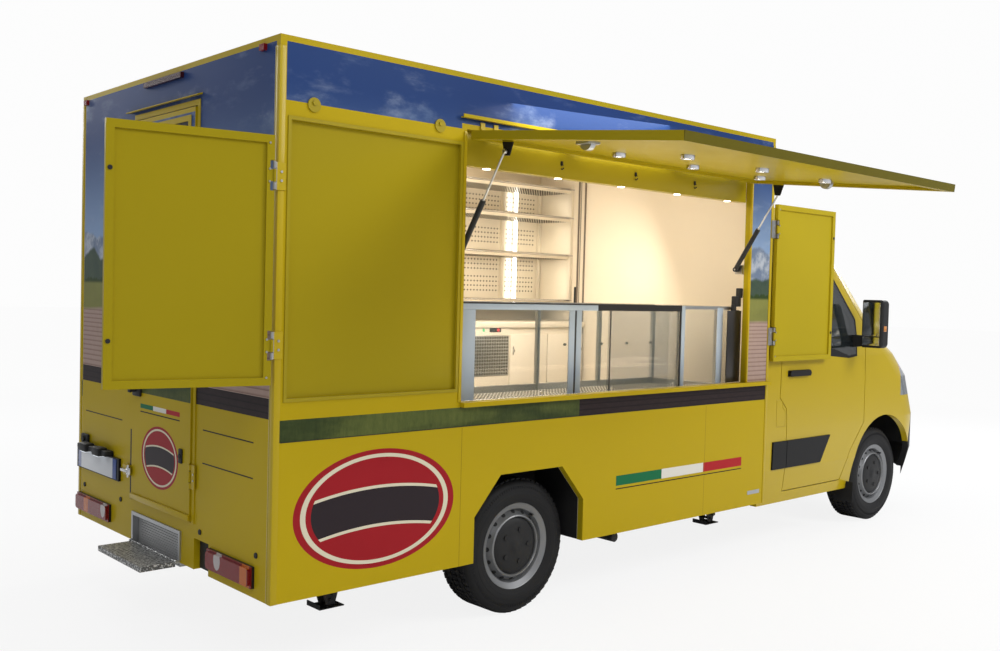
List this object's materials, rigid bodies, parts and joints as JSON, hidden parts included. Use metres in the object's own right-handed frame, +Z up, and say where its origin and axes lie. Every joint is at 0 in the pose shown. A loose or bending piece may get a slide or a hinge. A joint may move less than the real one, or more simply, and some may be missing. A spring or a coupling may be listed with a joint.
{
  "type": "food truck",
  "caption": "Serving van: a box body on a front-drive cab, with a lift-up awning over a glazed counter, side boards, rear door, fold-down step and jack legs.",
  "frame": {"origin": "on the ground, under the middle of the overall length and width as it stands with the awning and boards open", "axes": "+X forward to the cab, +Y to the vehicle's left, +Z up"},
  "size_m": [6.6422, 3.5582, 2.649],
  "materials": {
    "yellow_paint": "gloss lemon yellow paint",
    "printed_wrap": "satin printed film over painted panels",
    "black_plastic": "grained black plastic",
    "tyre_rubber": "matte rubber",
    "silver_steel": "silver wheel lacquer",
    "stainless": "brushed stainless steel",
    "aluminium": "checker and extruded aluminium",
    "frame_steel": "black chassis paint",
    "cast_metal": "as cast",
    "clear_glass": "clear glass",
    "tinted_glass": "tinted glass",
    "red_lens": "moulded lens",
    "lamp_lens": "clear lamp lens",
    "cream_panel": "cream laminate",
    "seat_cloth": "woven seat cloth",
    "dash_plastic": "grained dash plastic"
  },
  "bodies": {
    "vehicle": {"arch_liners": "black_plastic", "back_cabinets": "cream_panel", "bonnet": "yellow_paint", "box_floor": "cream_panel", "box_front_wall": "cream_panel", "box_left_wall": "printed_wrap", "box_rear_wall": "printed_wrap", "box_right_wall": "printed_wrap", "box_roof": "yellow_paint", "cab_door_right": "yellow_paint", "cab_shell": "yellow_paint", "chassis_frame": "frame_steel", "dashboard": "dash_plastic", "display_case": "stainless", "display_glass": "clear_glass", "door_glass_right": "tinted_glass", "engine_block": "cast_metal", "front_bumper": "black_plastic", "front_fenders": "yellow_paint", "fuel_tank": "frame_steel", "grille": "black_plastic", "headlamps": "lamp_lens", "hinge_leaves": "stainless", "left_skirts": "printed_wrap", "mirror_right": "black_plastic", "rear_axle": "cast_metal", "seats": "seat_cloth", "shelf_rack": "stainless", "steering_wheel": "dash_plastic", "step_housing": "aluminium", "tail_lamps": "red_lens", "windscreen": "tinted_glass"},
    "wheel_front_left": {"tyre_front_left": "tyre_rubber", "rim_front_left": "silver_steel"},
    "wheel_front_right": {"tyre_front_right": "tyre_rubber", "rim_front_right": "silver_steel"},
    "wheel_rear_left": {"tyre_rear_left": "tyre_rubber", "rim_rear_left": "silver_steel"},
    "wheel_rear_right": {"tyre_rear_right": "tyre_rubber", "rim_rear_right": "silver_steel"},
    "knuckle_left": {"knuckle_left": "cast_metal"},
    "knuckle_right": {"knuckle_right": "cast_metal"},
    "cab_door_left": {"cab_door_left": "yellow_paint", "door_glass_left": "tinted_glass", "mirror_left": "black_plastic"},
    "rear_door": {"rear_door": "yellow_paint", "rear_door_glass": "clear_glass"},
    "awning": {"awning": "yellow_paint"},
    "strut_tube_rear": {"strut_tube_rear": "black_plastic"},
    "strut_rod_rear": {"strut_rod_rear": "stainless"},
    "side_board_rear": {"side_board_rear": "yellow_paint"},
    "strut_tube_front": {"strut_tube_front": "black_plastic"},
    "strut_rod_front": {"strut_rod_front": "stainless"},
    "side_board_front": {"side_board_front": "yellow_paint"},
    "step_tread": {"step_tread": "aluminium"},
    "jack_leg_front_left": {"jack_leg_front_left": "frame_steel"},
    "jack_leg_front_right": {"jack_leg_front_right": "frame_steel"},
    "jack_leg_rear_left": {"jack_leg_rear_left": "frame_steel"},
    "jack_leg_rear_right": {"jack_leg_rear_right": "frame_steel"}
  },
  "joints": [
    {"name": "steer_left", "type": "hinge", "parent": "vehicle", "child": "knuckle_left", "pos_m": [2.4836, 1.3091, 0.345], "axis": [0, 0, 1], "range_deg": [-35, 35]},
    {"name": "wheel_spin_front_left", "type": "hinge", "parent": "knuckle_left", "child": "wheel_front_left", "pos_m": [2.4836, 1.3791, 0.345], "axis": [0, 1, 0], "continuous": true},
    {"name": "wheel_spin_rear_left", "type": "hinge", "parent": "vehicle", "child": "wheel_rear_left", "pos_m": [-1.1984, 1.3791, 0.345], "axis": [0, 1, 0], "continuous": true},
    {"name": "steer_right", "type": "hinge", "parent": "vehicle", "child": "knuckle_right", "pos_m": [2.4836, -0.2409, 0.345], "axis": [0, 0, 1], "range_deg": [-35, 35]},
    {"name": "wheel_spin_front_right", "type": "hinge", "parent": "knuckle_right", "child": "wheel_front_right", "pos_m": [2.4836, -0.3109, 0.345], "axis": [0, 1, 0], "continuous": true},
    {"name": "wheel_spin_rear_right", "type": "hinge", "parent": "vehicle", "child": "wheel_rear_right", "pos_m": [-1.1984, -0.3109, 0.345], "axis": [0, 1, 0], "continuous": true},
    {"name": "cab_door_left_hinge", "type": "hinge", "parent": "vehicle", "child": "cab_door_left", "pos_m": [2.166, 1.5641, 0.945], "axis": [0, 0, -1], "range_deg": [0, 70]},
    {"name": "rear_door_hinge", "type": "hinge", "parent": "vehicle", "child": "rear_door", "pos_m": [-2.681, 0.1961, 1.5], "axis": [0, 0, 1], "range_deg": [0, 95]},
    {"name": "awning_hinge", "type": "hinge", "parent": "vehicle", "child": "awning", "pos_m": [-0.529, -0.5349, 2.385], "axis": [1, 0, 0], "range_deg": [0, 84.5]},
    {"name": "strut_hinge_rear", "type": "hinge", "parent": "vehicle", "child": "strut_tube_rear", "pos_m": [-1.645, -0.4459, 1.815], "axis": [1, 0, 0], "range_deg": [-32.8, 0.01]},
    {"name": "strut_slide_rear", "type": "slide", "parent": "strut_tube_rear", "child": "strut_rod_rear", "axis": [0, -0.5392, 0.8422], "range_m": [-0.19147, 0.0005]},
    {"name": "strut_hinge_front", "type": "hinge", "parent": "vehicle", "child": "strut_tube_front", "pos_m": [0.587, -0.4459, 1.815], "axis": [1, 0, 0], "range_deg": [-32.8, 0.01]},
    {"name": "strut_slide_front", "type": "slide", "parent": "strut_tube_front", "child": "strut_rod_front", "axis": [0, -0.5392, 0.8422], "range_m": [-0.19147, 0.0005]},
    {"name": "side_board_rear_hinge", "type": "hinge", "parent": "vehicle", "child": "side_board_rear", "pos_m": [-2.693, -0.5349, 1.74], "axis": [0, 0, 1], "range_deg": [0, 191]},
    {"name": "side_board_front_hinge", "type": "hinge", "parent": "vehicle", "child": "side_board_front", "pos_m": [0.905, -0.5349, 1.74], "axis": [0, 0, -1], "range_deg": [0, 95]},
    {"name": "step_fold", "type": "hinge", "parent": "vehicle", "child": "step_tread", "pos_m": [-2.685, 0.5726, 0.343], "axis": [0, 1, 0], "range_deg": [0, 90]},
    {"name": "jack_swing_front_left", "type": "hinge", "parent": "vehicle", "child": "jack_leg_front_left", "pos_m": [0.406, 1.3141, 0.3], "axis": [0, 1, 0], "range_deg": [0, 60]},
    {"name": "jack_swing_front_right", "type": "hinge", "parent": "vehicle", "child": "jack_leg_front_right", "pos_m": [0.406, -0.2459, 0.3], "axis": [0, 1, 0], "range_deg": [0, 60]},
    {"name": "jack_swing_rear_left", "type": "hinge", "parent": "vehicle", "child": "jack_leg_rear_left", "pos_m": [-2.324, 1.3141, 0.3], "axis": [0, 1, 0], "range_deg": [0, 60]},
    {"name": "jack_swing_rear_right", "type": "hinge", "parent": "vehicle", "child": "jack_leg_rear_right", "pos_m": [-2.324, -0.2459, 0.3], "axis": [0, 1, 0], "range_deg": [0, 60]}
  ],
  "couplings": [
    {"joint": "steer_right", "follows": "steer_left", "ratio": 1},
    {"joint": "strut_hinge_rear", "follows": "awning_hinge", "ratio": -0.38805},
    {"joint": "strut_slide_rear", "follows": "awning_hinge", "m_per_rad": -0.12949},
    {"joint": "strut_hinge_front", "follows": "awning_hinge", "ratio": -0.38805},
    {"joint": "strut_slide_front", "follows": "awning_hinge", "m_per_rad": -0.12949}
  ]
}
